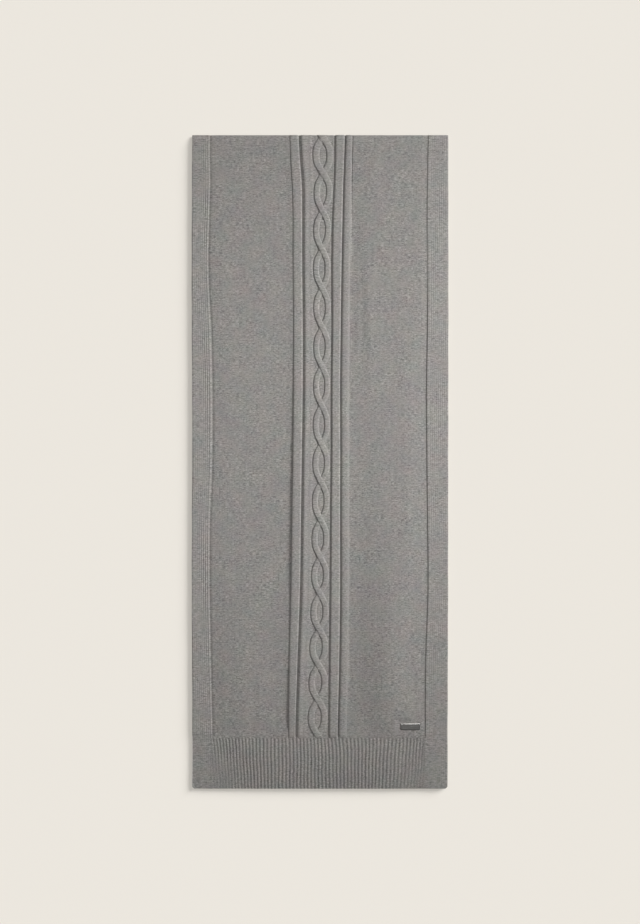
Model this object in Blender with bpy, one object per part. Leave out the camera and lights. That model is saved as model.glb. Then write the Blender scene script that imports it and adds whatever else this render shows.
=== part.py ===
# A knit scarf, folded once across its length and lying flat: the fold is at +Y, the open end
# with its rib hem at -Y, and the underside rests on Z = 0. The upper half is built as the strips
# that the knitter sees: two side bands, two plain fields, the cable panel and the rib hem. The
# strips turn round the fold and meet the hidden half, which is one rounded solid below them.
import math

import bmesh
import bpy
from mathutils import Vector

# Sizes of the whole scarf, in metres.
WIDTH = 0.350
FOLDED_LENGTH = 0.894
HEM_DEPTH = 0.070
SEAM_GAP = 0.0003

# Thickness of the cloth, in metres.
UNDER_THICK = 0.0026
LAYER_GAP = 0.0003
HEM_THICK = 0.0025

# The fold: the wrong side turns on a tight radius, and each strip's right side stands this much
# further out than its own thickness.
INNER_TURN_RADIUS = LAYER_GAP / 2
TURN_SLACK = 0.0006
TURN_STEPS = 8
THICKEST = 0.0035
UNDER_REACH = 0.012

# The lower corners are rounded in plan, and both ends of the cloth are rounded off in section.
CORNER_RADIUS = 0.004

# Where the strips meet, in metres from the middle line, by distance from the fold.
SEAM_COLUMNS = ("from_fold", "band_left", "panel_left", "panel_right", "band_right", "edge_right")
SEAM_ROWS = (
    (0.000, -0.1522, -0.0411, 0.0460, 0.1477, 0.1750),
    (0.060, -0.1528, -0.0382, 0.0445, 0.1466, 0.1750),
    (0.110, -0.1539, -0.0370, 0.0444, 0.1466, 0.1750),
    (0.170, -0.1543, -0.0368, 0.0440, 0.1474, 0.1750),
    (0.260, -0.1509, -0.0362, 0.0435, 0.1465, 0.1750),
    (0.350, -0.1490, -0.0366, 0.0425, 0.1452, 0.1750),
    (0.440, -0.1496, -0.0378, 0.0423, 0.1458, 0.1750),
    (0.530, -0.1526, -0.0394, 0.0425, 0.1472, 0.1750),
    (0.620, -0.1526, -0.0407, 0.0426, 0.1470, 0.1748),
    (0.720, -0.1510, -0.0428, 0.0413, 0.1440, 0.1742),
    (0.824, -0.1488, -0.0438, 0.0392, 0.1438, 0.1738),
    (0.894, -0.1488, -0.0438, 0.0392, 0.1438, 0.1738),
)

# Sections across the strips. share runs from the strip's left side to its right side, thick is
# from the wrong side of the cloth to its face, and lift is how far the wrong side is rounded up.
SECTION_COLUMNS = ("share", "thick", "lift")
LEFT_BAND_SECTION = (
    (0.00, 0.0012, 0.0006),
    (0.03, 0.0022, 0.0002),
    (0.10, 0.0029, 0.0000),
    (0.50, 0.0032, 0.0000),
    (0.93, 0.0031, 0.0000),
    (1.00, 0.0026, 0.0000),
)
FIELD_SECTION = (
    (0.00, 0.0021, 0.0000),
    (0.10, 0.0022, 0.0000),
    (0.35, 0.0024, 0.0000),
    (0.65, 0.0024, 0.0000),
    (0.90, 0.0022, 0.0000),
    (1.00, 0.0021, 0.0000),
)
PANEL_SECTION = (
    (0.000, 0.0022, 0.0000),  # first cord
    (0.020, 0.0030, 0.0000),
    (0.070, 0.0035, 0.0000),
    (0.130, 0.0034, 0.0000),
    (0.165, 0.0029, 0.0000),
    (0.176, 0.0022, 0.0000),  # groove
    (0.190, 0.0030, 0.0000),  # second cord
    (0.235, 0.0035, 0.0000),
    (0.285, 0.0033, 0.0000),
    (0.305, 0.0026, 0.0000),
    (0.338, 0.0026, 0.0000),  # ground of the cable
    (0.350, 0.0032, 0.0000),
    (0.400, 0.0034, 0.0000),
    (0.440, 0.0030, 0.0000),
    (0.550, 0.0030, 0.0000),
    (0.600, 0.0034, 0.0000),
    (0.650, 0.0032, 0.0000),
    (0.661, 0.0022, 0.0000),  # groove
    (0.678, 0.0030, 0.0000),  # third cord
    (0.745, 0.0035, 0.0000),
    (0.805, 0.0032, 0.0000),
    (0.822, 0.0022, 0.0000),  # groove
    (0.840, 0.0030, 0.0000),  # fourth cord
    (0.895, 0.0035, 0.0000),
    (0.945, 0.0032, 0.0000),
    (0.966, 0.0025, 0.0000),
    (1.000, 0.0022, 0.0000),
)
HEM_SECTION = (
    (0.00, HEM_THICK, 0.0000),
    (0.10, HEM_THICK, 0.0000),
    (0.30, HEM_THICK, 0.0000),
    (0.50, HEM_THICK, 0.0000),
    (0.70, HEM_THICK, 0.0000),
    (0.90, HEM_THICK, 0.0000),
    (1.00, HEM_THICK, 0.0000),
)
UNDER_SECTION = (
    (0.000, 0.0017, 0.0008),
    (0.003, 0.0023, 0.0003),
    (0.010, UNDER_THICK, 0.0000),
    (0.250, UNDER_THICK, 0.0000),
    (0.500, UNDER_THICK, 0.0000),
    (0.750, UNDER_THICK, 0.0000),
    (0.990, UNDER_THICK, 0.0000),
    (0.997, 0.0023, 0.0003),
    (1.000, 0.0017, 0.0008),
)

# How an open end of the cloth is rounded off: by distance from the end, the share of the
# thickness that the face keeps and how far the wrong side is rounded up.
END_COLUMNS = ("from_end", "keep", "lift")
END_ROWS = (
    (0.0000, 0.55, 0.0005),
    (0.0008, 0.82, 0.0002),
    (0.0022, 0.97, 0.0000),
    (0.0045, 1.00, 0.0000),
)
NO_END = ((0.0, 1.0, 0.0),)

# The small metal plate, just above the hem in the right field.
PLATE_WIDTH = 0.0262
PLATE_HEIGHT = 0.0086
PLATE_THICK = 0.0011
PLATE_BEVEL = 0.0003
PLATE_X = 0.1234
PLATE_Y_ABOVE_HEM = 0.0156

# Levels that follow from the sizes.
LOWER_EDGE = -FOLDED_LENGTH / 2
FOLD_EDGE = FOLDED_LENGTH / 2
HEM_TOP = LOWER_EDGE + HEM_DEPTH
UPPER_BACK = UNDER_THICK + LAYER_GAP
TURN_CENTRE_Y = FOLD_EDGE - THICKEST - TURN_SLACK
TURN_CENTRE_Z = UNDER_THICK + INNER_TURN_RADIUS
UNDER_END_Y = TURN_CENTRE_Y - UNDER_REACH

YARN = (0.262, 0.250, 0.243)
GUNMETAL = (0.075, 0.073, 0.074)


def clear_scene():
    for old in list(bpy.data.objects):
        bpy.data.objects.remove(old, do_unlink=True)


def material(name, color, roughness, metallic):
    made = bpy.data.materials.new(name)
    made.use_nodes = True
    shader = made.node_tree.nodes["Principled BSDF"]
    shader.inputs["Base Color"].default_value = (*color, 1.0)
    shader.inputs["Roughness"].default_value = roughness
    shader.inputs["Metallic"].default_value = metallic
    return made


def read(rows, columns, column, at):
    """The value of a table's column at a place between its rows, on straight lines."""
    k = columns.index(column)
    if at <= rows[0][0]:
        return rows[0][k]
    for low, high in zip(rows, rows[1:]):
        if at <= high[0]:
            part = (at - low[0]) / (high[0] - low[0])
            return low[k] + part * (high[k] - low[k])
    return rows[-1][k]


def seam(name, y):
    return read(SEAM_ROWS, SEAM_COLUMNS, name, FOLD_EDGE - y)


def corner(y, radius=CORNER_RADIUS):
    """How far a side edge is drawn in at a height near the rounded lower corner."""
    left = radius - (y - LOWER_EDGE)
    if left <= 0:
        return 0.0
    return radius - math.sqrt(radius**2 - left**2)


def run_stations(low, high, end_rows):
    """Heights from low to high: the rounded end's rows, then the seam table's own rows."""
    near = [low + row[0] for row in end_rows]
    table = [FOLD_EDGE - row[0] for row in reversed(SEAM_ROWS)]
    clear = [y for y in table if near[-1] + 0.004 < y < high - 0.004]
    return near + clear + [high]


def upper_ring(y, sides, section, end_rows, low):
    """Face and wrong-side points across a strip of the upper layer."""
    left, right = sides(y)
    keep = read(end_rows, END_COLUMNS, "keep", y - low)
    end_lift = read(end_rows, END_COLUMNS, "lift", y - low)
    face = []
    back = []
    for share, thick, lift in section:
        x = left + share * (right - left)
        face.append(Vector((x, y, UPPER_BACK + thick * keep)))
        back.append(Vector((x, y, UPPER_BACK + max(lift, end_lift))))
    return face, back


def turn_ring(angle, sides, section):
    """Points across a strip where it turns round the fold. angle is 0 at the top, pi below."""
    left, right = sides(TURN_CENTRE_Y)
    face = []
    back = []
    for share, thick, lift in section:
        x = left + share * (right - left)
        half = (UPPER_BACK + thick) / 2
        reach = thick + TURN_SLACK
        floor = lift * (1 - math.cos(angle)) / 2
        y = TURN_CENTRE_Y + reach * math.sin(angle)
        face.append(Vector((x, y, half + half * math.cos(angle) + floor)))
        inner = INNER_TURN_RADIUS + lift
        y = TURN_CENTRE_Y + inner * math.sin(angle)
        back.append(Vector((x, y, TURN_CENTRE_Z + inner * math.cos(angle))))
    return face, back


def lower_ring(y, sides, section):
    """Points across a strip below the fold, where its face lies flat on the ground."""
    left, right = sides(TURN_CENTRE_Y)
    face = []
    back = []
    for share, _, lift in section:
        x = left + share * (right - left)
        face.append(Vector((x, y, lift)))
        back.append(Vector((x, y, UNDER_THICK - lift)))
    return face, back


def skin(name, rings, mat):
    """One closed body from rings of face and wrong-side points."""
    bm = bmesh.new()
    faces = [[bm.verts.new(p) for p in face] for face, _ in rings]
    backs = [[bm.verts.new(p) for p in back] for _, back in rings]
    last = len(faces[0]) - 1
    for i in range(len(rings) - 1):
        for j in range(last):
            bm.faces.new((faces[i][j], faces[i][j + 1], faces[i + 1][j + 1], faces[i + 1][j]))
            bm.faces.new((backs[i][j], backs[i + 1][j], backs[i + 1][j + 1], backs[i][j + 1]))
        bm.faces.new((faces[i][0], faces[i + 1][0], backs[i + 1][0], backs[i][0]))
        bm.faces.new((faces[i][last], backs[i][last], backs[i + 1][last], faces[i + 1][last]))
    for j in range(last):
        bm.faces.new((faces[0][j], backs[0][j], backs[0][j + 1], faces[0][j + 1]))
        bm.faces.new((faces[-1][j], faces[-1][j + 1], backs[-1][j + 1], backs[-1][j]))
    bmesh.ops.recalc_face_normals(bm, faces=bm.faces)
    mesh = bpy.data.meshes.new(name)
    bm.to_mesh(mesh)
    bm.free()
    mesh.materials.append(mat)
    mesh.shade_smooth()
    mesh.set_sharp_from_angle(angle=math.radians(35))
    made = bpy.data.objects.new(name, mesh)
    bpy.context.collection.objects.link(made)
    return made


def folded_strip(name, sides, section, low, end_rows, mat):
    """A strip of the upper layer that turns round the fold and ends a little way below it."""
    rings = []
    for y in run_stations(low, TURN_CENTRE_Y, end_rows):
        rings.append(upper_ring(y, sides, section, end_rows, low))
    for step in range(1, TURN_STEPS):
        rings.append(turn_ring(math.pi * step / TURN_STEPS, sides, section))
    for y in (TURN_CENTRE_Y, UNDER_END_Y + SEAM_GAP / 2):
        rings.append(lower_ring(y, sides, section))
    return skin(name, rings, mat)


def left_band_sides(y):
    return -WIDTH / 2 + corner(y), seam("band_left", y) - SEAM_GAP / 2


def left_field_sides(y):
    return seam("band_left", y) + SEAM_GAP / 2, seam("panel_left", y) - SEAM_GAP / 2


def panel_sides(y):
    return seam("panel_left", y) + SEAM_GAP / 2, seam("panel_right", y) - SEAM_GAP / 2


def right_field_sides(y):
    return seam("panel_right", y) + SEAM_GAP / 2, seam("band_right", y) - SEAM_GAP / 2


def right_band_sides(y):
    return seam("band_right", y) + SEAM_GAP / 2, seam("edge_right", y) - corner(y)


def hem_sides(y):
    return seam("band_left", y) + SEAM_GAP / 2, seam("band_right", y) - SEAM_GAP / 2


def under_sides(y):
    return -WIDTH / 2 + corner(y), seam("edge_right", y) - corner(y)


def mirrored(section):
    """The same section with its left and right sides swapped."""
    return tuple((1 - share, thick, lift) for share, thick, lift in reversed(section))


def end_rib(mat):
    """The rib hem of the upper layer, between the two bands."""
    rings = []
    for y in run_stations(LOWER_EDGE, HEM_TOP - SEAM_GAP / 2, END_ROWS):
        rings.append(upper_ring(y, hem_sides, HEM_SECTION, END_ROWS, LOWER_EDGE))
    return skin("end_rib", rings, mat)


def under_half(mat):
    """The hidden half of the scarf: flat above and below, rounded at its sides and its end."""
    rings = []
    for y in run_stations(LOWER_EDGE, UNDER_END_Y - SEAM_GAP / 2, END_ROWS):
        left, right = under_sides(y)
        keep = read(END_ROWS, END_COLUMNS, "keep", y - LOWER_EDGE)
        end_lift = read(END_ROWS, END_COLUMNS, "lift", y - LOWER_EDGE)
        face = []
        back = []
        for share, thick, lift in UNDER_SECTION:
            x = left + share * (right - left)
            top = min(thick, max(UNDER_THICK * keep, 0.0017))
            face.append(Vector((x, y, top)))
            back.append(Vector((x, y, max(lift, end_lift))))
        rings.append((face, back))
    return skin("under_half", rings, mat)


def metal_plate(mat):
    """A bare plate with bevelled edges, lying flat on the highest point of the field under it."""
    y = HEM_TOP + PLATE_Y_ABOVE_HEM
    left, right = right_field_sides(y)
    seat = 0.0
    for step in range(9):
        x = PLATE_X + PLATE_WIDTH * (step / 8 - 0.5)
        share = (x - left) / (right - left)
        seat = max(seat, read(FIELD_SECTION, SECTION_COLUMNS, "thick", share))
    z = UPPER_BACK + seat + SEAM_GAP + PLATE_THICK / 2
    bpy.ops.mesh.primitive_cube_add(size=1, location=(PLATE_X, y, z))
    plate = bpy.context.object
    plate.name = "metal_plate"
    plate.scale = (PLATE_WIDTH, PLATE_HEIGHT, PLATE_THICK)
    bpy.ops.object.transform_apply(location=False, rotation=False, scale=True)
    bevel = plate.modifiers.new("edges", "BEVEL")
    bevel.width = PLATE_BEVEL
    bevel.segments = 2
    plate.data.materials.append(mat)
    return plate


def build():
    clear_scene()
    field_low = HEM_TOP + SEAM_GAP / 2
    strips = (
        ("left_band", left_band_sides, LEFT_BAND_SECTION, LOWER_EDGE, END_ROWS),
        ("left_field", left_field_sides, FIELD_SECTION, field_low, NO_END),
        ("cable_panel", panel_sides, PANEL_SECTION, field_low, NO_END),
        ("right_field", right_field_sides, FIELD_SECTION, field_low, NO_END),
        ("right_band", right_band_sides, mirrored(LEFT_BAND_SECTION), LOWER_EDGE, END_ROWS),
    )
    for name, sides, section, low, end_rows in strips:
        folded_strip(name, sides, section, low, end_rows, material(name, YARN, 0.95, 0.0))
    end_rib(material("end_rib", YARN, 0.95, 0.0))
    under_half(material("under_half", YARN, 0.95, 0.0))
    metal_plate(material("metal_plate", GUNMETAL, 0.35, 1.0))


build()
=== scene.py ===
import math

import bpy
import numpy as np
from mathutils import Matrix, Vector


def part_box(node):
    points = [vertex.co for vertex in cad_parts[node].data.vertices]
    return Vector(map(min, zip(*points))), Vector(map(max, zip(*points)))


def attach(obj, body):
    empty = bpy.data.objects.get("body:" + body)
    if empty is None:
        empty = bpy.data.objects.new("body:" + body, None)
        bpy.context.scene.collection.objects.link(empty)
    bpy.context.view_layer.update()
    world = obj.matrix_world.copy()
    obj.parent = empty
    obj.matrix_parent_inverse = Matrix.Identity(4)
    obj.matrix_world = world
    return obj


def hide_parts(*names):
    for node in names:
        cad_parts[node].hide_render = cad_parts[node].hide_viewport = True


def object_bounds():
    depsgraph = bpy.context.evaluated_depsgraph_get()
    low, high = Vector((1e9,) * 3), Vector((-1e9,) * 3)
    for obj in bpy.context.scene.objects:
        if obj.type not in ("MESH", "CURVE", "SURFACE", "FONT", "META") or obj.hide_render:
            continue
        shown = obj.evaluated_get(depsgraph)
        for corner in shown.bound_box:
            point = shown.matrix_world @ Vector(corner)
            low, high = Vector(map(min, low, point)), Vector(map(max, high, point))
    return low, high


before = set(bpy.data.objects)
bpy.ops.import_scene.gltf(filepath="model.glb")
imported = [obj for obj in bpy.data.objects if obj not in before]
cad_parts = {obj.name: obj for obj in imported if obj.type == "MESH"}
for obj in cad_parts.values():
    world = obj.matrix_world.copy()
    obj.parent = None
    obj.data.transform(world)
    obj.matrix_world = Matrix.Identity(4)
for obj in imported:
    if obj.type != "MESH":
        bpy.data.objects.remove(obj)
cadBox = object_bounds()
print("frame loaded")

mm = 0.001
edgeLow, edgeHigh = cadBox
halfWidth = float(edgeHigh[0])
foldY = float(edgeHigh[1])
lowerY = float(edgeLow[1])
hemTopY = float(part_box("end_rib")[1][1])
upperBack = float(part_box("end_rib")[0][2])
underTop = float(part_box("under_half")[1][2])
underEndY = float(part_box("under_half")[1][1])
plateLow, plateHigh = [np.array(corner, dtype=float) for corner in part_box("metal_plate")]

# How the cloth goes round the fold, and its gauge. Distances along the cloth are counted from the
# fold's outermost line: positive on the upper half, negative on the hidden one.
cloth = {
    "foldReach": 4.1 * mm,      # from the centre of the turn to its thickest outside
    "turnLength": 9.0 * mm,     # cloth used up by the turn
    "innerTurn": 0.15 * mm,
    "slack": 3.10 * mm,         # reach of the turn itself, the relief only adds a little
    "foldDrop": 1.35 * mm,      # how far the upper half comes down towards the fold
    "dropLength": 15 * mm,
    "thinnest": 0.5 * mm,
    "endInset": 0.9 * mm,       # the cast-off end stops short of the solid's by this
    "course": 1.8 * mm,         # height of one row of stitches
    "wale": 2.3 * mm,           # width of one stitch in the fields
    "bandRib": 2.75 * mm,       # one ridge and furrow of the fine side rib
    "pressed": 0.35,            # how much of the relief is left on the side that lies down
    "cornerRadius": 4 * mm,
    "seamGap": 0.02 * mm,
    "underInset": 0.5 * mm,     # how far the hidden half stays in from the sides
}
turnY = foldY - cloth["foldReach"]
turnStart = -(turnY - underEndY) - cloth["turnLength"] / 2     # where the hidden half takes over
clothEnd = foldY - lowerY - cloth["endInset"]
hemSeam = foldY - hemTopY

# Lines of the knit, from the middle of the scarf, by distance from the fold.
seamNames = ("fromFold", "bandLeft", "panelLeft", "grooveB", "grooveC", "grooveD", "panelRight",
             "bandRight", "edgeRight")
seamRows = (
    (0.000, -0.1522, -0.0418, -0.0288, 0.0209, 0.0349, 0.0458, 0.1474, 0.1750),
    (0.034, -0.1522, -0.0404, -0.0268, 0.0207, 0.0337, 0.0450, 0.1465, 0.1750),
    (0.067, -0.1519, -0.0384, -0.0241, 0.0199, 0.0325, 0.0443, 0.1461, 0.1750),
    (0.110, -0.1530, -0.0371, -0.0236, 0.0178, 0.0315, 0.0440, 0.1455, 0.1750),
    (0.170, -0.1544, -0.0371, -0.0236, 0.0166, 0.0303, 0.0434, 0.1461, 0.1750),
    (0.260, -0.1517, -0.0364, -0.0228, 0.0168, 0.0289, 0.0428, 0.1459, 0.1750),
    (0.350, -0.1498, -0.0365, -0.0229, 0.0158, 0.0280, 0.0420, 0.1445, 0.1750),
    (0.440, -0.1500, -0.0374, -0.0241, 0.0157, 0.0282, 0.0420, 0.1449, 0.1750),
    (0.530, -0.1523, -0.0387, -0.0253, 0.0148, 0.0280, 0.0420, 0.1461, 0.1750),
    (0.620, -0.1524, -0.0399, -0.0266, 0.0143, 0.0281, 0.0420, 0.1466, 0.1751),
    (0.720, -0.1509, -0.0423, -0.0301, 0.0132, 0.0269, 0.0408, 0.1433, 0.1748),
    (0.824, -0.1488, -0.0431, -0.0330, 0.0125, 0.0247, 0.0390, 0.1431, 0.1744),
    (0.894, -0.1488, -0.0431, -0.0330, 0.0125, 0.0247, 0.0390, 0.1431, 0.1744),
)

# Where the two strands of the cable cross, counted from the crossing nearest the fold.
crossNames = ("fromFold", "crossing")
crossRows = (
    (-0.850, -16.5),
    (0.004, 0.0),
    (0.105, 2.0),
    (0.317, 6.0),
    (0.475, 9.0),
    (0.627, 12.0),
    (0.724, 14.0),
    (0.820, 16.0),
    (0.900, 17.6),
)


def readTable(rows, names, name, at):
    # a smooth curve through the values in a table's column
    table = np.array(rows)
    xs, ys = table[:, 0], table[:, names.index(name)]
    slopes = np.gradient(ys, xs)
    at = np.clip(np.asarray(at, dtype=float), xs[0], xs[-1])
    k = np.clip(np.searchsorted(xs, at) - 1, 0, len(xs) - 2)
    span = xs[k + 1] - xs[k]
    t = (at - xs[k]) / span
    rise = ys[k + 1] - ys[k]
    a = slopes[k] * span - rise
    b = rise - slopes[k + 1] * span
    return ys[k] + rise * t + t * (1 - t) * (a * (1 - t) + b * t)


def seam(name, s):
    return readTable(seamRows, seamNames, name, np.abs(s))


def ease(low, high, at):
    t = np.clip((at - low) / (high - low), 0, 1)
    return t * t * (3 - 2 * t)


def bulge(u, power=3.0):
    # a rounded ridge across u = 0 to 1, steep at its sides and nearly flat on top
    return np.clip(1 - np.abs(2 * np.clip(u, 0, 1) - 1) ** power, 0, 1) ** 0.5


def hump(distance, reach):
    # 1 at the middle, 0 from reach outwards, round at both
    t = np.clip(np.abs(distance) / reach, 0, 1)
    return (1 - t * t) ** 2


def trench(distance, reach):
    # like hump, but with a flatter middle and steeper sides
    t = np.clip(np.abs(distance) / reach, 0, 1)
    return (1 - t ** 4) ** 2


def outerRound(distance, radius):
    # how far a surface drops towards a rounded edge
    t = 1 - np.clip(distance / radius, 0, 1)
    return radius * (1 - np.sqrt(np.clip(1 - t * t, 0, 1)))


# Soft troughs and ridges of the lying cloth: across from the middle, distance from
# the fold of its middle, half length, half width, height.
creaseNames = ("across", "fromFold", "halfLength", "halfWidth", "height")
creaseRows = (
    (-0.094, 0.030, 0.060, 0.008, -0.35 * mm),
    (-0.110, 0.330, 0.120, 0.022, 0.12 * mm),
    (-0.070, 0.430, 0.150, 0.016, -0.10 * mm),
    (-0.098, 0.560, 0.140, 0.016, 0.10 * mm),
    (-0.146, 0.770, 0.085, 0.016, -0.55 * mm),
    (-0.091, 0.770, 0.040, 0.010, -0.35 * mm),
    (0.058, 0.250, 0.110, 0.007, -0.55 * mm),
    (0.069, 0.270, 0.120, 0.006, 0.30 * mm),
    (0.076, 0.060, 0.090, 0.014, 0.40 * mm),
    (0.095, 0.500, 0.150, 0.016, -0.10 * mm),
    (0.090, 0.285, 0.120, 0.020, -0.25 * mm),
    (-0.044, 0.690, 0.115, 0.026, 1.20 * mm),
    (0.066, 0.700, 0.110, 0.014, 0.25 * mm),
    (0.100, 0.785, 0.050, 0.030, 0.35 * mm),
    (0.112, 0.080, 0.030, 0.008, -0.30 * mm),
)


def creases(x, s):
    # the hidden half has the same kind of creases, turned about, and pressed nearly flat
    total = np.zeros(np.broadcast(x, s).shape)
    for row in creaseRows:
        crease = dict(zip(creaseNames, row))
        across, fromFold = crease["across"], crease["fromFold"]
        above = hump(s - fromFold, crease["halfLength"])
        above = above * hump(x - across, crease["halfWidth"])
        below = hump(-s - clothEnd + fromFold, crease["halfLength"])
        below = below * hump(x + across, crease["halfWidth"])
        total += crease["height"] * (above + 0.5 * below)
    wander = 0.06 * mm * np.sin(x * 190 + 3 * np.sin(s * 17)) * np.sin(s * 41 + x * 60)
    return total + wander


# Each zone gives, at a share across it and a distance from the fold: how thick the cloth is, how
# far it is raised off what is below, the stitch coordinates, and how far the stitches are purl.
bandLook = {
    "thick": 3.0 * mm,
    "rib": 0.52 * mm,
    "slope": 0.30 * mm,
    "leftSeam": 3.2 * mm,      # how thick the cloth is where band and field meet
    "leftBlend": 1.6 * mm,
    "rightSeam": 2.15 * mm,
    "rightDip": 0.35 * mm,     # a little deeper still, in the seam itself
    "rightRoll": 0.15 * mm,    # soft roll beside the right seam
    "hemSide": 2.60 * mm,      # and where band and rib hem meet
    "hemSlope": 1.9 * mm,      # fall of the left band across, beside the hem
    "hemOuter": 0.5 * mm,
    "topRound": 1.7 * mm,      # rounding of the outer edge, above and below
    "backRound": 1.1 * mm,
}


def bandRelief(share, s, side):
    look = bandLook
    left = -halfWidth if side < 0 else seam("bandRight", s)
    right = seam("bandLeft", s) if side < 0 else seam("edgeRight", s)
    width = right - left
    fromOuter = (share if side < 0 else 1 - share) * width
    fromInner = width - fromOuter
    ribs = fromInner / cloth["bandRib"] + (0.45 if side < 0 else 0.0)
    ridge = np.sin(np.pi * (ribs % 1)) ** 0.8
    soft = 0.65 + 0.35 * np.sin(s * 23 + fromInner * 240 + side)
    if side < 0:
        soft = soft * (0.55 + 0.9 * hump(fromInner - 4 * mm, 9 * mm))
    else:
        soft = soft * 0.65
    thick = look["thick"] + look["rib"] * (ridge - 0.5) * soft
    aboveHem = 1 - ease(hemSeam - 6 * mm, hemSeam, np.abs(s))
    if side < 0:
        blend = (1 - ease(0, look["leftBlend"], fromInner)) * aboveHem
        thick = thick + (look["leftSeam"] - thick) * blend
    else:
        thick = thick + look["rightRoll"] * hump(fromInner - 2.2 * mm, 2.4 * mm) * aboveHem
        edge = 1 - ease(0.3 * mm, 2.1 * mm, fromInner)
        deep = look["thick"] - look["rightSeam"] + look["rightDip"]
        thick = thick - deep * (0.62 + 0.38 * ease(0.18, 0.27, s)) * edge * aboveHem
    thick = thick - look["slope"] * (0.5 - fromOuter / width) * side
    besideHem = ease(hemSeam - 8 * mm, hemSeam + 2 * mm, np.abs(s))
    if side < 0:
        beside = look["hemSide"] - look["hemSlope"] * fromInner / width
        beside = beside - look["hemOuter"] * (1 - ease(0, 16 * mm, fromOuter))
    else:
        beside = look["hemSide"]
        besideHem = besideHem * (1 - ease(0, 14 * mm, fromInner))
    thick = thick + (beside - thick) * besideHem * 0.8
    thick = thick - outerRound(fromOuter, look["topRound"])
    lift = outerRound(fromOuter, look["backRound"])
    return thick, lift, ribs, np.zeros_like(thick)


fieldLook = {
    "thick": 2.60 * mm,
    "leftRise": 0.45 * mm,
    "leftWidth": 7.5 * mm,
    "valley": 0.65 * mm,       # the furrow just beside the left band
    "foot": 3.0 * mm,          # how far from the seam it lies, and how much nearer at the ends
    "footNearer": 1.3 * mm,
    "besidePanel": 0.45 * mm,
    "farDrop": 0.40 * mm,
    "farWidth": 24 * mm,
    "rightDrop": 0.45 * mm,
    "rightWidth": 9 * mm,
    "topDip": 1.6 * mm,        # the right field sinks beside the panel, towards the fold
    "lowRoll": 0.55 * mm,      # and has a soft roll along its lower part
    "leftPuff": 1.5 * mm,      # how far the left field stands off the half below it
    "puff": 1.7 * mm,          # and the right one
    "seatReach": 9 * mm,       # how far round the metal plate the cloth is held down
}


def fieldRelief(share, s, side):
    look = fieldLook
    left = seam("bandLeft" if side < 0 else "panelRight", s)
    right = seam("panelLeft" if side < 0 else "bandRight", s)
    x = left + share * (right - left)
    toBand = (share if side < 0 else 1 - share) * (right - left)
    toPanel = (1 - share if side < 0 else share) * (right - left)
    lower = ease(0.50, 0.74, s)
    thick = look["thick"] + creases(x, s)
    if side < 0:
        thick = thick - look["leftRise"] * (1 - ease(-0.6 * mm, look["leftWidth"], toBand))
        far = 1 - ease(0, look["farWidth"], toBand)
        thick = thick - look["farDrop"] * (1 + 0.8 * lower) * far
        narrow = 1 - ease(0.20, 0.28, s) + ease(0.46, 0.54, s)
        foot = look["foot"] - look["footNearer"] * narrow
        thick = thick - look["valley"] * hump(toBand - foot, 3.0 * mm)
        thick = thick + (bandLook["leftSeam"] - thick) * (1 - ease(-0.5 * mm, foot, toBand))
        thick = thick + look["besidePanel"] * (1 - ease(0, 9 * mm, toPanel))
        lift = look["leftPuff"] * lower * ease(0, 50 * mm, toBand) * ease(0, 46 * mm, toPanel)
    else:
        full = (0.10 + 0.90 * ease(0.16, 0.44, s)) * (1 - 0.5 * ease(0.76, 0.82, s))
        thick = thick - look["rightDrop"] * (1 - ease(0, look["rightWidth"], toBand))
        thick = thick - look["topDip"] * (1 - ease(0, 22 * mm, toPanel)) * hump(s - 0.20, 0.19)
        thick = thick + look["lowRoll"] * hump(toBand - 52 * mm, 26 * mm) * ease(0.52, 0.66, s)
        full = full * (1 + 0.9 * ease(0.44, 0.62, s)) * (1 + 0.4 * ease(0.62, 0.74, s))
        lift = look["puff"] * full * ease(0, (30 + 16 * lower) * mm, toBand)
        lift = lift * ease(0, 50 * mm, toPanel)
    lift = lift * ease(0.002, 0.03, np.abs(s)) * (1 - ease(hemSeam - 0.03, hemSeam, np.abs(s)))
    toHem = 1 - ease(0, 4 * mm, hemSeam - np.abs(s))
    thick = thick + (hemLook["thick"] - thick) * toHem
    if side > 0:
        # the metal plate lies flat on the cloth
        plateX, plateY = (plateLow + plateHigh)[:2] / 2
        plateWide, plateTall = (plateHigh - plateLow)[:2] / 2
        aside = np.maximum(np.abs(x - plateX) - plateWide, np.abs(foldY - s - plateY) - plateTall)
        seat = 1 - ease(0.5 * mm, look["seatReach"], aside)
        lift = lift * (1 - seat)
        thick = thick + (plateLow[2] - 0.05 * mm - upperBack - thick) * seat
    return thick, lift, x / cloth["wale"], np.ones_like(thick)


panelLook = {
    "ground": 2.45 * mm,
    "cordTop": 3.85 * mm,
    "grooveDepth": 2.20 * mm,     # below the ground, between two cords
    "grooveReach": 1.35 * mm,
    "grooveShift": 0.34 * mm,
    "cordPitch": 13.5 * mm,       # from one groove to the next, and across the cable's stretch
    "cablePitch": 43 * mm,
    "cordTwo": 0.260,             # share of the B to C stretch that the second cord takes
    "cableMiddle": 0.657,
    "strandReach": 0.204,
    "strandHalf": 0.098,
    "strandTop": 1.10 * mm,
    "over": 0.65 * mm,
    "under": -0.65 * mm,
    "eye": 0.75 * mm,             # how far the ground sinks beside a strand
    "cordFour": (0.10, 0.83),     # shares of the D to E stretch
    "seamDip": 0.20 * mm,
    "topDip": 1.3 * mm,           # beside the right field, near the fold
    "raised": 2.5 * mm,
}
# The panel's stretches go from groove to groove, each with the same number of columns down it
panelStretches = ("panelLeft", "grooveB", "grooveC", "grooveD", "panelRight")


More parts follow.
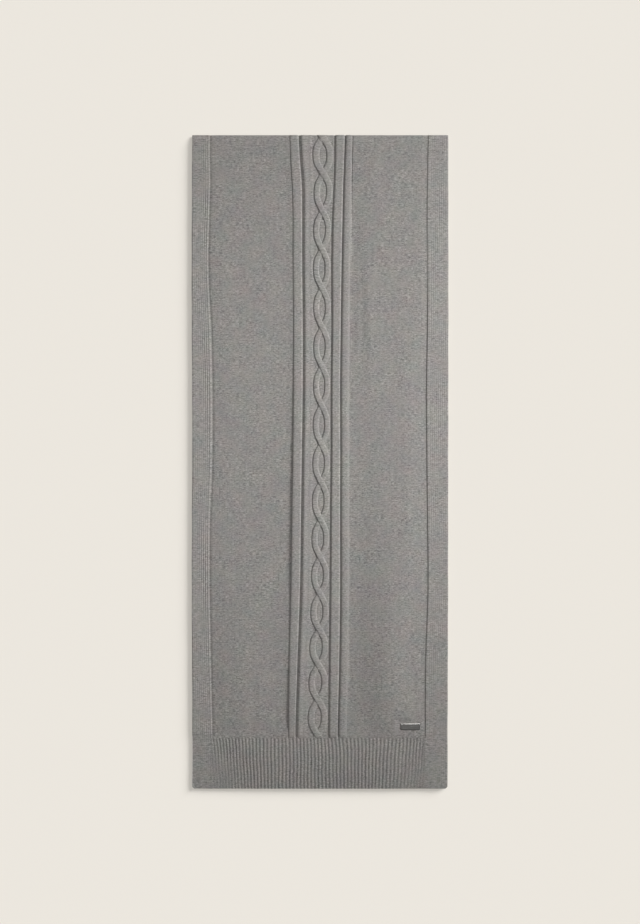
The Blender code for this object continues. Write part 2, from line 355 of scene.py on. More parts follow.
def panelX(q, s):
    # q runs 0 to 4 from the panel's left seam to its right one, a whole number at each groove
    lines = [seam(name, s) for name in panelStretches]
    lines[0] = lines[0] + cloth["seamGap"]
    lines[4] = lines[4] - cloth["seamGap"]
    x = np.zeros(np.broadcast(q, s).shape)
    for k in range(4):
        inside = (q >= k) & ((q < k + 1) | (k == 3))
        x = np.where(inside, lines[k] + (q - k) * (lines[k + 1] - lines[k]), x)
    return x


def strandSwing(phase):
    # from -1, left, to 1, right, and back over two crossings: straight slants, upright in the loops
    slant = 1.6 * np.arcsin(np.sin(np.pi * phase)) * 2 / np.pi
    return slant / (1 + np.abs(slant) ** 5) ** 0.2


def panelRelief(q, s):
    look = panelLook
    q, s = np.broadcast_arrays(q, s)
    b, c = seam("grooveB", s), seam("grooveC", s)
    shape = np.full(q.shape, look["ground"])
    rise = look["cordTop"] - look["ground"]
    wales = panelX(q, s) / cloth["wale"]
    purl = np.ones(q.shape)

    def addCord(inside, u, count, leftPower=4.0, rightPower=10.0, more=1.0):
        nonlocal shape, purl, wales
        rounded = np.where(u < 0.5, bulge(u, leftPower), bulge(u, rightPower))
        shape = np.where(inside, look["ground"] + rise * more * rounded, shape)
        purl = np.where(inside, 0.0, purl)
        wales = np.where(inside, u * count, wales)

    addCord((q > 0) & (q < 1), (q - 0.02) / 0.96, 6, 3.0)
    pastB = q - 1
    second = pastB / look["cordTwo"]
    addCord((q >= 1) & (pastB < look["cordTwo"]), second, 5)
    settle = rise * (1 - 0.55 * ease(0.35, 1.0, second) - 0.45 * ease(1.05, 1.5, second))
    shape = np.where((q >= 1) & (second > 0.5) & (second < 1.5), look["ground"] + settle, shape)
    addCord((q >= 2) & (q < 3), q - 2, 6, 5.0, 10.0, 1.2)
    low, high = look["cordFour"]
    fourth = (q - 3 - low) / (high - low)
    addCord((q > 3 + low) & (q < 3 + high), fourth, 5, 2.8, 2.8)
    for line in (1, 2, 3):
        leftWidth = look["cablePitch"] if line == 2 else look["cordPitch"]
        away = (q - line) * np.where(q < line, leftWidth, look["cordPitch"]) + look["grooveShift"]
        fading = 0.55 + 0.45 * ease(0.09, 0.15, s) if line == 2 else 1
        shape = shape - look["grooveDepth"] * fading * trench(away, look["grooveReach"])
    shape = shape - look["seamDip"] * trench(q * look["cordPitch"], 1.0 * mm)
    # two strands on the purl ground between the second cord and groove C
    across = (pastB - look["cableMiddle"]) * (c - b)
    phase = readTable(crossRows, crossNames, "crossing", s)
    reach = look["strandReach"] * (c - b)
    half = look["strandHalf"] * (c - b)
    step = 0.5 * mm
    swing = strandSwing(phase)
    ahead = strandSwing(readTable(crossRows, crossNames, "crossing", s + step))
    inCable = (q > 1 + look["cordTwo"]) & (q < 2)
    best = np.full(q.shape, -1.0)
    beside = np.zeros(q.shape)
    for sign in (-1, 1):
        centre = sign * swing * reach
        lean = sign * (ahead - swing) * reach / step
        away = (across - centre) / np.sqrt(1 + lean * lean)
        u = np.clip(away / half, -1, 1)
        body = np.sqrt(np.clip(1 - np.abs(u) ** 3.4, 0, 1))
        body = body * np.clip((1 - np.abs(u)) / np.where(u < 0, 0.12, 0.34), 0, 1) ** 0.6
        crossing = 1 - np.clip(np.abs(swing) * 1.25, 0, 1)
        onTop = lean > 0       # going down the scarf this strand runs from left to right
        level = np.where(onTop, look["over"], look["under"]) * crossing
        height = np.where(body > 0, look["strandTop"] * body + level, -1.0)
        close = hump(np.abs(away) - half - 0.2 * mm, 1.1 * mm) * np.where(away < 0, 1.0, 0.25)
        beside = np.maximum(beside, close)
        better = inCable & (height > best) & (height > 0)
        best = np.where(better, height, best)
        wales = np.where(better, (u + 1) * 1.5 + 20 * sign, wales)
        purl = np.where(better, 0.0, purl)
    shape = np.where(inCable & (best <= 0), shape - look["eye"] * beside, shape)
    shape = np.where(best > 0, look["ground"] + best, shape)
    top = 1 - ease(0.10, 0.20, np.abs(s))
    shape = shape - look["topDip"] * top * hump((q - 4) * 12 * mm, 2.2 * mm)
    atHem = 1 - ease(0, 3 * mm, hemSeam - np.abs(s))
    shape = shape + (hemLook["thick"] - shape) * atHem * 0.8
    lift = look["raised"] * (0.32 + 0.68 * ease(0.20, 0.56, s)) * (1 - 0.75 * ease(0, 4, q))
    lift = lift * ease(0.002, 0.03, s) * (1 - ease(0.795, 0.824, s))
    return shape, lift, wales, purl


hemLook = {
    "thick": 2.45 * mm,
    "ridgeShare": 0.62,
    "height": 0.96 * mm,
    "dent": 0.12 * mm,          # between the two stitches of a ridge
    "kink": 1.8 * mm,           # how far the ribs step aside just under the cords
    "gather": 2.7 * mm,         # how far the outer ribs lean inwards down the hem
    "raised": 1.9 * mm,         # how far its middle stands off the half below
}

# Ribs counted across the hem from its left seam
ribNames = ("across", "rib")
ribRows = (
    (-0.1530, -1.20),
    (-0.1449, 0.82),
    (-0.1244, 5.82),
    (-0.0273, 25.82),
    (0.0711, 45.82),
    (0.1312, 57.82),
    (0.1476, 61.82),
    (0.1530, 63.10),
)


def hemRelief(share, s):
    look = hemLook
    share, s = np.broadcast_arrays(share, s)
    fromSeam = np.abs(s) - hemSeam
    left, right = seam("bandLeft", s), seam("bandRight", s)
    x = left + share * (right - left)
    toSide = np.minimum(x - left, right - x)
    lean = look["gather"] * ease(0.055, 0.11, np.abs(x)) * np.sign(x)
    lean = lean * (fromSeam - 10 * mm) / (38 * mm)
    kink = look["kink"] * np.exp(-np.clip(fromSeam, 0, 1) / (9 * mm)) * hump(x, 0.075)
    wobble = 0.30 * mm * np.sin(x * 71 + fromSeam * 45)
    wobble = wobble + 0.2 * mm * np.sin(fromSeam * 160 + x * 31)
    rib = readTable(ribRows, ribNames, "rib", x + lean + kink + wobble)
    u = rib % 1
    ridge = np.where(u < look["ridgeShare"], bulge(u / look["ridgeShare"], 2.2), 0)
    # the ribs are lower at the sides and fade in the lower corners, on the left most of all
    sideLoss, cornerLoss = np.where(x < 0, 0.28, 0.18), np.where(x < 0, 0.7, 0.55)
    side = 1 - sideLoss * (1 - ease(0, 24 * mm, toSide))
    corner = ease(12 * mm, 50 * mm, fromSeam) * (1 - ease(0, 62 * mm, toSide))
    corner = 1 - cornerLoss * corner
    uneven = 0.9 + 0.1 * np.sin(rib * 2.4 + fromSeam * 60)
    dent = look["dent"] * np.sin(u * np.pi / look["ridgeShare"] * 2) ** 2
    height = look["height"] * side * corner * uneven
    atSeam = ease(-2.5 * mm, 1.5 * mm, fromSeam)
    thick = look["thick"] + (height * (ridge - 0.5) - dent * ridge) * atSeam
    thick = thick + (bandLook["hemSide"] - thick) * (1 - ease(0, 3 * mm, toSide)) * 0.8
    along = u / look["ridgeShare"] * 2
    between = 2 + (u - look["ridgeShare"]) / (1 - look["ridgeShare"])
    wales = np.floor(rib) * 3 + np.where(u < look["ridgeShare"], along, between)
    purl = np.where(u < look["ridgeShare"], 0.0, 1.0)
    lift = look["raised"] * ease(0, 22 * mm, fromSeam) * (s > 0)
    lift = lift * (1 - 0.6 * ease(36 * mm, 70 * mm, fromSeam))
    lift = lift * ease(0, 90 * mm, x - left) * ease(0, 60 * mm, right - x)
    return thick, lift, wales, purl


def placeCloth(x, s, thick, lift, topThick):
    # puts the right side and the wrong side of the cloth in place along its folded way
    arc = cloth["turnLength"]
    angle = np.pi * np.clip(0.5 - s / arc, 0, 1)
    straight = np.clip(np.abs(s) - arc / 2, 0, None)
    thick = np.maximum(thick, cloth["thinnest"])
    drop = cloth["foldDrop"] * (1 - ease(0, cloth["dropLength"], s))
    high = upperBack + lift + thick - drop * (s > -cloth["turnLength"])
    low = cloth["pressed"] * np.clip(topThick - thick, 0, 3 * mm)
    reach = np.minimum(thick, topThick) * 0.16 + cloth["slack"]
    middle, half = (high + low) / 2, (high - low) / 2
    y = turnY - straight
    face = np.stack([x, y + reach * np.sin(angle), middle + half * np.cos(angle)], axis=-1)
    backHigh = upperBack + lift
    backLow = np.maximum(underTop - 0.1 * mm - lift, low + 0.4 * mm)
    middle, half = (backHigh + backLow) / 2, (backHigh - backLow) / 2
    inner = cloth["innerTurn"]
    back = np.stack([x, y + inner * np.sin(angle), middle + half * np.cos(angle)], axis=-1)
    return face, back


def coarse(count, step):
    picks = list(range(0, count - 1, step))
    if len(picks) > 1 and count - 1 - picks[-1] < step / 2:
        picks.pop()
    return picks + [count - 1]


def shell(name, face, back, wales, purl, s, material, rowStep=6, columnStep=6):
    # a closed cloth: every point on the right side, a wider net on the wrong side
    rows, columns = face.shape[:2]
    faceIds = np.arange(rows * columns).reshape(rows, columns)
    pickRows, pickColumns = coarse(rows, rowStep), coarse(columns, columnStep)
    backPoints = back[np.ix_(pickRows, pickColumns)]
    backIds = rows * columns + np.arange(len(pickRows) * len(pickColumns))
    backIds = backIds.reshape(len(pickRows), len(pickColumns))
    points = np.concatenate([face.reshape(-1, 3), backPoints.reshape(-1, 3)])
    quads = np.stack([faceIds[:-1, :-1], faceIds[:-1, 1:], faceIds[1:, 1:], faceIds[1:, :-1]], -1)
    under = np.stack([backIds[:-1, :-1], backIds[1:, :-1], backIds[1:, 1:], backIds[:-1, 1:]],
                     -1)
    polygons = quads.reshape(-1, 4).tolist() + under.reshape(-1, 4).tolist()
    lastRow, lastColumn = rows - 1, columns - 1
    for k, (a, b) in enumerate(zip(pickRows, pickRows[1:])):
        left = faceIds[a:b + 1, 0].tolist()
        polygons.append(left + [int(backIds[k + 1, 0]), int(backIds[k, 0])])
        right = faceIds[a:b + 1, lastColumn].tolist()[::-1]
        polygons.append(right + [int(backIds[k, -1]), int(backIds[k + 1, -1])])
    for k, (a, b) in enumerate(zip(pickColumns, pickColumns[1:])):
        first = faceIds[0, a:b + 1].tolist()[::-1]
        polygons.append(first + [int(backIds[0, k]), int(backIds[0, k + 1])])
        last = faceIds[lastRow, a:b + 1].tolist()
        polygons.append(last + [int(backIds[-1, k + 1]), int(backIds[-1, k])])
    mesh = bpy.data.meshes.new(name)
    mesh.from_pydata(points.tolist(), [], polygons)
    mesh.polygons.foreach_set("use_smooth", np.ones(len(mesh.polygons), dtype=bool))

    def everyPoint(values):
        # the face's values, and the same ones again for the points of the wrong side
        values = np.broadcast_to(values, (rows, columns))
        onBack = values[np.ix_(pickRows, pickColumns)]
        return np.concatenate([values.reshape(-1), onBack.reshape(-1)])

    stitchU = everyPoint(wales)
    stitchV = everyPoint(s / cloth["course"])
    corners = np.zeros(len(mesh.loops), dtype=np.int32)
    mesh.loops.foreach_get("vertex_index", corners)
    knit = mesh.uv_layers.new(name="knit")
    knit.data.foreach_set("uv", np.stack([stitchU[corners], stitchV[corners]], -1).ravel())
    kind = mesh.attributes.new("purl", "FLOAT", "POINT")
    kind.data.foreach_set("value", everyPoint(purl).astype(np.float32))
    mesh.materials.append(material)
    mesh.set_sharp_from_angle(angle=math.radians(72))
    mesh.validate()
    mesh.update()
    made = bpy.data.objects.new(name, mesh)
    bpy.context.scene.collection.objects.link(made)
    return made


def stations(low, high, step, ends=()):
    # even steps from low to high, with finer ones at the ends named and round the turn
    count = max(2, int(round((high - low) / step)))
    values = list(np.linspace(low, high, count + 1))
    fine = [0.25 * mm, 0.6 * mm, 1.1 * mm, 1.8 * mm, 2.8 * mm]
    if "high" in ends:
        values += [high - f for f in fine]
    if "low" in ends:
        values += [low + f for f in fine]
    if low < 0 < high:
        values += list(np.linspace(-0.5, 0.5, 15) * cloth["turnLength"])
    return np.array(sorted(set(np.round(values, 6))))


def cornerIn(s):
    left = np.clip(cloth["cornerRadius"] - (clothEnd - np.abs(s)), 0, cloth["cornerRadius"])
    return cloth["cornerRadius"] - np.sqrt(cloth["cornerRadius"] ** 2 - left ** 2)


def sides(leftName, rightName, s):
    # seams stay straight round the fold, and the outer sides have rounded lower corners
    s = np.where(np.abs(s) < cloth["turnLength"] / 2, cloth["turnLength"] / 2, s)
    inset = np.where(s < 0, cloth["underInset"] + 0.3 * mm * np.sin(s * 37), 0)
    waver = 0.12 * mm * np.sin(s * 83)
    if leftName == "edge":
        waver = waver + 0.35 * mm * np.sin(s * 15.3 + 1.7) + 0.3 * mm * np.abs(s)
        left = -halfWidth + 0.30 * mm + cornerIn(s) + inset + waver
    else:
        left = seam(leftName, s) + cloth["seamGap"]
    if rightName == "edge":
        waver = waver + 0.30 * mm * np.sin(np.abs(s) * 6 + 0.2)
        right = seam("edgeRight", s) + 0.05 * mm - cornerIn(s) - inset + waver
    else:
        right = seam(rightName, s) - cloth["seamGap"]
    return left, right


def roundEnd(thick, lift, s):
    # the cast-off end of the cloth is rounded off on both sides
    fromEnd = clothEnd - np.abs(s)
    return thick - outerRound(fromEnd, 1.3 * mm), lift + outerRound(fromEnd, 0.8 * mm)


def spread(count, low=0.0, high=1.0, crowd=0.0):
    # even shares from low to high, crowded a little towards both ends
    t = np.linspace(0, 1, count)
    t = t - crowd * np.sin(2 * np.pi * t) / (2 * np.pi)
    return low + t * (high - low)


def buildBand(name, side, material):
    s = stations(turnStart, clothEnd, 4 * mm, ("high",))[:, None]
    names = ("edge", "bandLeft") if side < 0 else ("bandRight", "edge")
    left, right = sides(*names, s)
    width = 26 * mm if side < 0 else 29.5 * mm
    share = spread(int(width / (cloth["bandRib"] / 6)) + 1, crowd=0.25)[None, :]
    x = left + share * (right - left)
    thick, lift, wales, purl = bandRelief(share, s, side)
    thick, lift = roundEnd(thick, lift, s)
    face, back = placeCloth(x, s + 0 * x, thick, lift, 3.4 * mm)
    return shell(name, face, back, wales, purl, s, material)


def buildField(name, side, material):
    s = stations(turnStart, hemSeam - cloth["seamGap"], 3 * mm)[:, None]
    names = ("bandLeft", "panelLeft") if side < 0 else ("panelRight", "bandRight")
    left, right = sides(*names, s)
    share = spread(96, crowd=0.35)[None, :]
    x = left + share * (right - left)
    thick, lift, wales, purl = fieldRelief(share, s, side)
    face, back = placeCloth(x, s + 0 * x, thick, lift, 3.0 * mm)
    return shell(name, face, back, wales, purl, s, material)


def buildPanel(name, material):
    s = stations(turnStart, hemSeam - cloth["seamGap"], 1.15 * mm)[:, None]
    held = np.where(np.abs(s) < cloth["turnLength"] / 2, cloth["turnLength"] / 2, s)
    q = np.concatenate([
        spread(15, 0.0, 1.0, 0.45)[:-1],
        1 + spread(11, 0.0, panelLook["cordTwo"], 0.4)[:-1],
        1 + spread(66, panelLook["cordTwo"], 1.0)[:-1],
        2 + spread(15, 0.0, 1.0, 0.45)[:-1],
        3 + spread(15, 0.0, 1.0, 0.3),
    ])[None, :]
    x = panelX(q, held)
    thick, lift, wales, purl = panelRelief(q, s)
    face, back = placeCloth(x, s + 0 * x, thick, lift, 4.4 * mm)
    return shell(name, face, back, wales, purl, s, material)


def buildHem(name, material):
    s = stations(hemSeam + cloth["seamGap"], clothEnd, 1.6 * mm, ("high", "low"))[:, None]
    left, right = sides("bandLeft", "bandRight", s)
    share = np.linspace(0, 1, 621)[None, :]
    x = left + share * (right - left)
    thick, lift, wales, purl = hemRelief(share, s)
    thick, lift = roundEnd(thick, lift, s)
    face, back = placeCloth(x, s + 0 * x, thick, lift, 3.4 * mm)
    return shell(name, face, back, wales, purl, s, material, 6, 10)


def buildUnder(name, material):
    # the hidden half: the same bands, fields, panel and rib hem, pressed flat on the ground
    s = stations(-clothEnd, turnStart, 4.5 * mm, ("low",))[:, None]
    left, lineLeft = sides("edge", "bandLeft", s)
    lineRight, right = sides("bandRight", "edge", s)
    x = np.concatenate([
        left + spread(44, crowd=0.2)[None, :-1] * (lineLeft - left),
        lineLeft + spread(330)[None, :-1] * (lineRight - lineLeft),
        lineRight + spread(48, crowd=0.2)[None, :] * (right - lineRight),
    ], axis=1)
    along = s + 0 * x
    panelLeft, panelRight = seam("panelLeft", along), seam("panelRight", along)

    def shareOf(low, high):
        return np.clip((x - low) / (high - low), 0, 1)

    q = np.zeros(x.shape)
    for k in range(4):
        low, high = seam(panelStretches[k], along), seam(panelStretches[k + 1], along)
        q = np.where((x >= low) & (x <= high), k + (x - low) / (high - low), q)
    between = (x > lineLeft) & (x < lineRight)
    zones = (
        (x <= lineLeft, bandRelief(shareOf(left, lineLeft), along, -1)),
        (between & (x < panelLeft), fieldRelief(shareOf(lineLeft, panelLeft), along, -1)),
        ((x >= panelLeft) & (x <= panelRight), panelRelief(q, along)),
        (between & (x > panelRight), fieldRelief(shareOf(panelRight, lineRight), along, 1)),
        (x >= lineRight, bandRelief(shareOf(lineRight, right), along, 1)),
        (between & (np.abs(along) > hemSeam),
         hemRelief((x - lineLeft) / (lineRight - lineLeft), along)),
    )
    made = [np.zeros(x.shape) for _ in range(4)]
    for inside, values in zones:
        for k in range(4):
            made[k] = np.where(inside, values[k], made[k])
    thick, lift, wales, purl = made
    thick, lift = roundEnd(thick, lift, along)
    face, back = placeCloth(x, along, thick, lift, 3.8 * mm)
    return shell(name, face, back, wales, purl, s, material, 4, 8)


# Materials

# How much each kind of unevenness changes the yarn's tone, and how fine each one is
yarnLook = {
    "color": (0.251, 0.2412, 0.2295),
    "dark": 0.50,              # the darkest and the lightest tone, as shares of the color
    "light": 1.55,
    "stitchTone": 0.20,
    "dashTone": 0.95,
    "streakTone": 0.62,
    "rowTone": 0.26,
    "fibreTone": 0.50,
    "fibreScale": 900.0,
    "cloudTone": 0.20,
    "cloudScale": 55.0,
    "patchScale": 48.0,
    "greenShift": 0.085,
    "greenScale": 42.0,
    "warmShift": 0.10,
    "relief": 0.42 * mm,       # height of a stitch
    "reliefStrength": 0.8,
    "fuzz": 0.35,              # height of the loose fibres beside that of a stitch
    "roughness": 0.93,
    "shine": 0.22,
    "sheen": 0.18,
    "sheenRoughness": 0.55,
}


def node(tree, kind, **settings):
    made = tree.nodes.new(kind)
    for key, value in settings.items():
        setattr(made, key, value)
    return made


def wire(tree, source, target):
    tree.links.new(source, target)


def mathNode(tree, operation, *values, clamp=False):
    made = node(tree, "ShaderNodeMath", operation=operation, use_clamp=clamp)
    for k, value in enumerate(values):
        if isinstance(value, (int, float)):
            made.inputs[k].default_value = value
        else:
            wire(tree, value, made.inputs[k])
    return made.outputs[0]


def knitMaterial(name, zonePaintedLight=1.0):
    look = yarnLook
    material = bpy.data.materials.new(name)
    material.use_nodes = True
    tree = material.node_tree
    shader = tree.nodes["Principled BSDF"]
    shader.inputs["Roughness"].default_value = look["roughness"]
    shader.inputs["Specular IOR Level"].default_value = look["shine"]
    shader.inputs["Sheen Weight"].default_value = look["sheen"]
    shader.inputs["Sheen Roughness"].default_value = look["sheenRoughness"]

    def calc(operation, *values, clamp=False):
        return mathNode(tree, operation, *values, clamp=clamp)

    stitch = node(tree, "ShaderNodeUVMap", uv_map="knit")
    parts = node(tree, "ShaderNodeSeparateXYZ")
    wire(tree, stitch.outputs[0], parts.inputs[0])
    u, v = parts.outputs[0], parts.outputs[1]
    kind = node(tree, "ShaderNodeAttribute", attribute_name="purl")
    purl = kind.outputs["Fac"]
    place = node(tree, "ShaderNodeTexCoord")

    # plain stitches: two legs that meet in a V, one V above another
    fromMiddle = calc("MULTIPLY", calc("ABSOLUTE", calc("SUBTRACT", calc("FRACT", u), 0.5)), 2.0)
    leg = calc("SINE", calc("MULTIPLY", fromMiddle, math.pi))
    legRow = calc("ADD", v, calc("MULTIPLY", fromMiddle, 0.55))
    legRound = calc("COSINE", calc("MULTIPLY", legRow, 2 * math.pi))
    drop = calc("ADD", calc("MULTIPLY", legRound, 0.32), 0.68)
    plainHeight = calc("MULTIPLY", calc("POWER", calc("MAXIMUM", leg, 0.0), 0.7), drop)
    # purl stitches: rows of short bumps that interlock
    across = calc("COSINE", calc("MULTIPLY", u, 2 * math.pi))
    wave = calc("MULTIPLY", across, 0.17)
    bumpRow = calc("COSINE", calc("MULTIPLY", calc("ADD", v, wave), 2 * math.pi))
    bead = calc("ADD", calc("MULTIPLY", across, 0.14), 0.8)
    purlHeight = calc("MULTIPLY", calc("ADD", calc("MULTIPLY", bumpRow, 0.42), 0.5), bead)
    pick = node(tree, "ShaderNodeMix", data_type="FLOAT")
    wire(tree, purl, pick.inputs[0])
    wire(tree, plainHeight, pick.inputs[2])
    wire(tree, purlHeight, pick.inputs[3])
    height = pick.outputs[0]

    # marled yarn: a tone for each stitch, streaks along a row, single fibres, and soft clouds
    def stretched(acrossScale, alongScale, shift):
        spot = node(tree, "ShaderNodeCombineXYZ")
        wire(tree, calc("ADD", calc("MULTIPLY", u, acrossScale), shift), spot.inputs[0])
        wire(tree, calc("MULTIPLY", v, alongScale), spot.inputs[1])
        grain = node(tree, "ShaderNodeTexNoise", noise_dimensions="2D")
        grain.inputs["Scale"].default_value = 1.0
        grain.inputs["Detail"].default_value = 1.0
        grain.inputs["Roughness"].default_value = 0.5
        wire(tree, spot.outputs[0], grain.inputs["Vector"])
        return grain.outputs[0]

    def clouds(scale, detail, roughness=0.5):
        made = node(tree, "ShaderNodeTexNoise")
        made.inputs["Scale"].default_value = scale
        made.inputs["Detail"].default_value = detail
        made.inputs["Roughness"].default_value = roughness
        wire(tree, place.outputs["Object"], made.inputs["Vector"])
        return made.outputs[0]

    cell = node(tree, "ShaderNodeCombineXYZ")
    wire(tree, calc("FLOOR", u), cell.inputs[0])
    wire(tree, calc("FLOOR", v), cell.inputs[1])
    each = node(tree, "ShaderNodeTexWhiteNoise", noise_dimensions="2D")
    wire(tree, cell.outputs[0], each.inputs["Vector"])
    stitchTone = each.outputs["Value"]
    dashTone = stretched(0.50, 1.55, 0.0)
    streakTone = stretched(1.25, 1.9, 40.0)
    rowTone = stretched(0.07, 1.05, 90.0)
    fibre = clouds(look["fibreScale"], 3.0, 0.7)
    cloud = clouds(look["cloudScale"], 3.0)
    patch = clouds(look["patchScale"], 2.0)
    greener = clouds(look["greenScale"], 1.0)

    def centred(value, amount):
        return calc("MULTIPLY", calc("SUBTRACT", value, 0.5), amount)

    total = calc("ADD", centred(stitchTone, look["stitchTone"]),
                 centred(streakTone, look["streakTone"]))
    total = calc("ADD", total, centred(dashTone, look["dashTone"]))
    total = calc("ADD", total, centred(rowTone, look["rowTone"]))
    # the marl is stronger in some places than in others
    unevenly = calc("MAXIMUM", calc("ADD", calc("MULTIPLY", patch, 1.9), 0.05), 0.2)
    quieter = calc("ADD", calc("MULTIPLY", purl, 0.08), 0.97)
    total = calc("MULTIPLY", calc("MULTIPLY", total, unevenly), quieter)
    total = calc("ADD", total, centred(fibre, look["fibreTone"]))
    total = calc("ADD", total, centred(cloud, look["cloudTone"]))
    # painted shade: the colour darkens where the stitch relief is low, between the stitches
    paintedStitchShade = calc("ADD", calc("MULTIPLY", height, 0.20), 0.875)
    # painted light and shade: plain stitches made a little lighter and purl stitches a little
    # darker
    total = calc("ADD", total, calc("ADD", calc("MULTIPLY", purl, -0.055), 1.04))
    value = calc("MULTIPLY", total, paintedStitchShade)
    value = calc("MAXIMUM", calc("MINIMUM", value, look["light"]), look["dark"])
    # faint shifts between a greener and a redder grey
    green = centred(greener, look["greenShift"])
    warm = centred(cloud, look["warmShift"])
    channels = (
        calc("ADD", value, calc("SUBTRACT", warm, green)),
        calc("ADD", value, green),
        calc("SUBTRACT", value, warm),
    )
    color = node(tree, "ShaderNodeCombineColor")
    # the zone's factor scales the whole colour: painted light or shade
    for k, channel in enumerate(channels):
        wire(tree, calc("MULTIPLY", channel, look["color"][k] * zonePaintedLight), color.inputs[k])
    wire(tree, color.outputs[0], shader.inputs["Base Color"])

    fuzz = calc("MULTIPLY", fibre, look["fuzz"])
    bump = node(tree, "ShaderNodeBump")
    bump.inputs["Strength"].default_value = look["reliefStrength"]
    bump.inputs["Distance"].default_value = look["relief"]
    wire(tree, calc("ADD", height, fuzz), bump.inputs["Height"])
    wire(tree, bump.outputs[0], shader.inputs["Normal"])
    return material


plateLook = {
    "color": (0.080, 0.078, 0.075),
    "darkGrain": 0.8,
    "lightGrain": 1.35,
    "brushing": (60, 4200, 4200),    # the grain runs along the plate
    "scratch": 0.05 * mm,
    "roughness": 0.24,
    "roughGrain": 0.2,
    "rim": 0.40 * mm,
    "edge": 0.75 * mm,
    "recess": 0.15 * mm,
}


def plateMaterial():
    material = bpy.data.materials.new("gunmetal")
    material.use_nodes = True
    tree = material.node_tree
    shader = tree.nodes["Principled BSDF"]
    shader.inputs["Metallic"].default_value = 1.0
    place = node(tree, "ShaderNodeTexCoord")
    stretch = node(tree, "ShaderNodeMapping")
    stretch.inputs["Scale"].default_value = plateLook["brushing"]
    wire(tree, place.outputs["Object"], stretch.inputs["Vector"])
    grain = node(tree, "ShaderNodeTexNoise")
    grain.inputs["Scale"].default_value = 1.0
    grain.inputs["Detail"].default_value = 3.0
    wire(tree, stretch.outputs[0], grain.inputs["Vector"])
    tint = node(tree, "ShaderNodeValToRGB")
    for k, share in enumerate((plateLook["darkGrain"], plateLook["lightGrain"])):
        tint.color_ramp.elements[k].color = (*[c * share for c in plateLook["color"]], 1)
    wire(tree, grain.outputs[0], tint.inputs[0])
    wire(tree, tint.outputs[0], shader.inputs["Base Color"])
    rough = mathNode(tree, "MULTIPLY", grain.outputs[0], plateLook["roughGrain"])
    rough = mathNode(tree, "ADD", rough, plateLook["roughness"])
    wire(tree, rough, shader.inputs["Roughness"])
    bump = node(tree, "ShaderNodeBump")
    bump.inputs["Strength"].default_value = 0.3
    bump.inputs["Distance"].default_value = plateLook["scratch"]
    wire(tree, grain.outputs[0], bump.inputs["Height"])
    wire(tree, bump.outputs[0], shader.inputs["Normal"])
    return material


def buildPlate(material):
    centre, size = (plateLow + plateHigh) / 2, plateHigh - plateLow
    bpy.ops.object.select_all(action="DESELECT")
    bpy.ops.mesh.primitive_cube_add(size=1, location=tuple(centre))
    plate = bpy.context.object
    plate.name = "metal_plate_finish"
    plate.scale = tuple(size)
    bpy.ops.object.transform_apply(location=True, rotation=False, scale=True)
    bevel = plate.modifiers.new("edges", "BEVEL")
    bevel.width = plateLook["edge"]
    bevel.segments = 3
    bevel.limit_method = "ANGLE"
    bpy.ops.object.modifier_apply(modifier="edges")
    bpy.ops.object.mode_set(mode="EDIT")
    bpy.ops.mesh.select_all(action="DESELECT")
    bpy.ops.object.mode_set(mode="OBJECT")
    # the upper face gets a narrow rim round a sunk field
    for polygon in plate.data.polygons:
        polygon.select = polygon.normal.z > 0.99 and polygon.area > 1e-5
    bpy.ops.object.mode_set(mode="EDIT")
    bpy.ops.mesh.inset(thickness=plateLook["rim"], depth=0)
    bpy.ops.mesh.inset(thickness=0.05 * mm, depth=-plateLook["recess"])
    bpy.ops.object.mode_set(mode="OBJECT")
    bpy.ops.object.shade_smooth_by_angle(angle=math.radians(25))
    plate.data.materials.append(material)
    return plate


# Build

# painted light and shade: the one yarn made lighter or darker zone by zone, lighter on the cable
# panel and bands, darker on the rib hem at the lower end
knitPaintedLight = {"band": 1.02, "field": 1.0, "panel": 1.04, "rib": 0.96, "under": 1.0}
knits = {zone: knitMaterial(zone + " knit", zonePaintedLight) for zone, zonePaintedLight in knitPaintedLight.items()}

pieces = {
    "left_band": (buildBand("left_band_knit", -1, knits["band"]), "band_knit"),
    "right_band": (buildBand("right_band_knit", 1, knits["band"]), "band_knit"),
    "left_field": (buildField("left_field_knit", -1, knits["field"]), "field_knit"),
    "right_field": (buildField("right_field_knit", 1, knits["field"]), "field_knit"),
    "cable_panel": (buildPanel("cable_panel_knit", knits["panel"]), "panel_knit"),
    "end_rib": (buildHem("end_rib_knit", knits["rib"]), "rib_knit"),
    "under_half": (buildUnder("under_half_knit", knits["under"]), "under_knit"),
}

# Each piece hangs from the root body and takes the place of its part
for nodeName, (piece, slotName) in pieces.items():
    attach(piece, "root")
    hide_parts(nodeName)
    print("built", nodeName, len(piece.data.polygons))

plate = buildPlate(plateMaterial())
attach(plate, "root")
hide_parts("metal_plate")
print("built metal_plate")

# Floor, light and camera

studio = {
    "floor": (0.80, 0.765, 0.705),
    "sky": 0.17,
    "skyColor": (1.0, 0.985, 0.96),
    "keyPower": 590.0,       # from the right, on the cloth only
    "keyHeight": 32,         # degrees above the floor
    "keyTurn": 17,           # degrees from straight right towards the fold
    "keyAway": 3.2,
    "keyRadius": 0.50,
    "keyCone": 33,
    "topPower": 134.0,       # from above, on the cloth only
    "topAway": 3.0,
    "topRadius": 0.6,
    "topCone": 56,
    "aim": (0.02, 0.098, 0.0),
    "sideSun": 2.97,         # makes the soft shadow on the floor
    "sideHeight": 26,
    "sideTurn": 38,
    "sideWidth": 32,
    "topSun": 1.44,
    "topSunWidth": 4,
    "stripPower": 420.0,      # a long lamp beyond the fold, seen in the plate's upper edge
    "stripSize": (3.0, 0.8),
    "lens": 85,
    "frameHeight": 1.2631,    # metres seen from top to bottom of the view
    "eyeAcross": 0.0001,
}


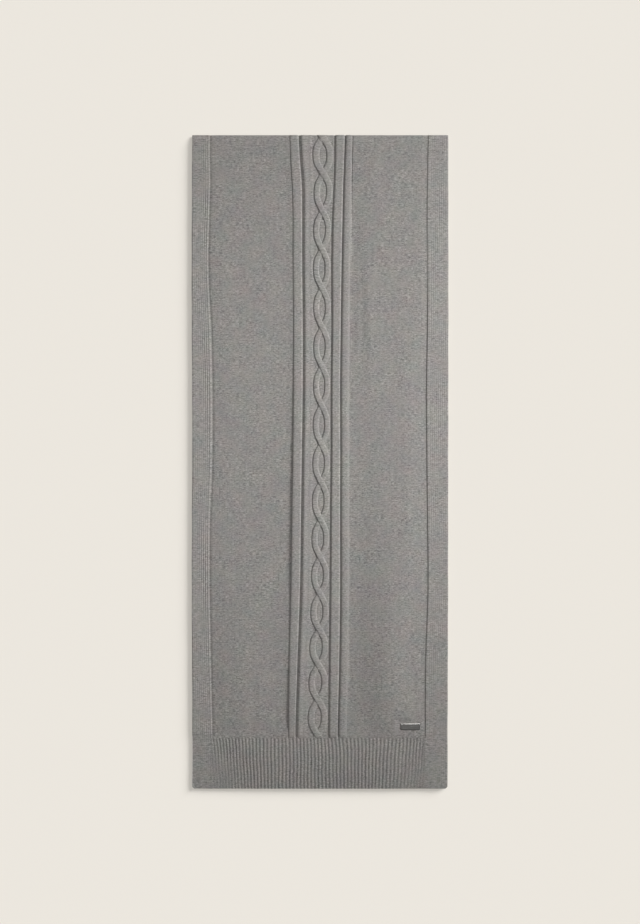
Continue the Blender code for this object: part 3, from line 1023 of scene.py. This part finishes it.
def addLamp(name, kind, power, receivers, place=None, turn=None):
    lamp = bpy.data.lights.new(name, kind)
    lamp.energy = power
    holder = bpy.data.objects.new(name, lamp)
    bpy.context.scene.collection.objects.link(holder)
    if place is not None:
        aim = np.array(studio["aim"])
        holder.location = tuple(aim + np.array(place))
        holder.rotation_euler = Vector(tuple(-np.array(place))).to_track_quat("-Z", "Y").to_euler()
    else:
        holder.rotation_euler = turn
    holder.light_linking.receiver_collection = receivers
    return lamp


def buildStudio():
    bpy.ops.object.select_all(action="DESELECT")
    bpy.ops.mesh.primitive_plane_add(size=12, location=(0, 0, -0.0002))
    floor = bpy.context.object
    floor.name = "floor"
    material = bpy.data.materials.new("floor")
    material.use_nodes = True
    shader = material.node_tree.nodes["Principled BSDF"]
    shader.inputs["Base Color"].default_value = (*studio["floor"], 1)
    shader.inputs["Roughness"].default_value = 0.9
    shader.inputs["Specular IOR Level"].default_value = 0.1
    floor.data.materials.append(material)

    onFloor = bpy.data.collections.new("lit floor")
    onFloor.objects.link(floor)
    onScarf = bpy.data.collections.new("lit scarf")
    for piece, slotName in pieces.values():
        onScarf.objects.link(piece)
    onScarf.objects.link(plate)

    height, turn = math.radians(studio["keyHeight"]), math.radians(studio["keyTurn"])
    flat = math.cos(height) * studio["keyAway"]
    place = (flat * math.cos(turn), flat * math.sin(turn), math.sin(height) * studio["keyAway"])
    key = addLamp("key", "SPOT", studio["keyPower"], onScarf, place)
    key.shadow_soft_size = studio["keyRadius"]
    key.spot_size = math.radians(studio["keyCone"])
    key.spot_blend = 1.0
    top = addLamp("top", "SPOT", studio["topPower"], onScarf, (0.1, 0.1, studio["topAway"]))
    top.shadow_soft_size = studio["topRadius"]
    top.spot_size = math.radians(studio["topCone"])
    top.spot_blend = 1.0
    onPlate = bpy.data.collections.new("lit plate")
    onPlate.objects.link(plate)
    strip = addLamp("strip", "AREA", studio["stripPower"], onPlate, (0.1, 1.6, 0.35))
    strip.shape = "RECTANGLE"
    strip.size, strip.size_y = studio["stripSize"]
    turn = (0, math.radians(90 - studio["sideHeight"]), math.radians(studio["sideTurn"]))
    side = addLamp("side", "SUN", studio["sideSun"], onFloor, turn=turn)
    side.angle = math.radians(studio["sideWidth"])
    above = addLamp("above", "SUN", studio["topSun"], onFloor, turn=(0, 0, 0))
    above.angle = math.radians(studio["topSunWidth"])

    world = bpy.data.worlds.new("studio")
    world.use_nodes = True
    back = world.node_tree.nodes["Background"]
    back.inputs["Color"].default_value = (*studio["skyColor"], 1)
    back.inputs["Strength"].default_value = studio["sky"]
    bpy.context.scene.world = world

    camera = bpy.data.cameras.new("camera")
    camera.lens = studio["lens"]
    camera.sensor_width = 36
    camera.clip_end = 50
    eye = bpy.data.objects.new("camera", camera)
    distance = studio["frameHeight"] / 2 * studio["lens"] / 18
    eye.location = (studio["eyeAcross"], 0.0, distance)
    bpy.context.scene.collection.objects.link(eye)
    bpy.context.scene.camera = eye
    bpy.context.scene.view_settings.view_transform = "Standard"


buildStudio()
print("studio ready")
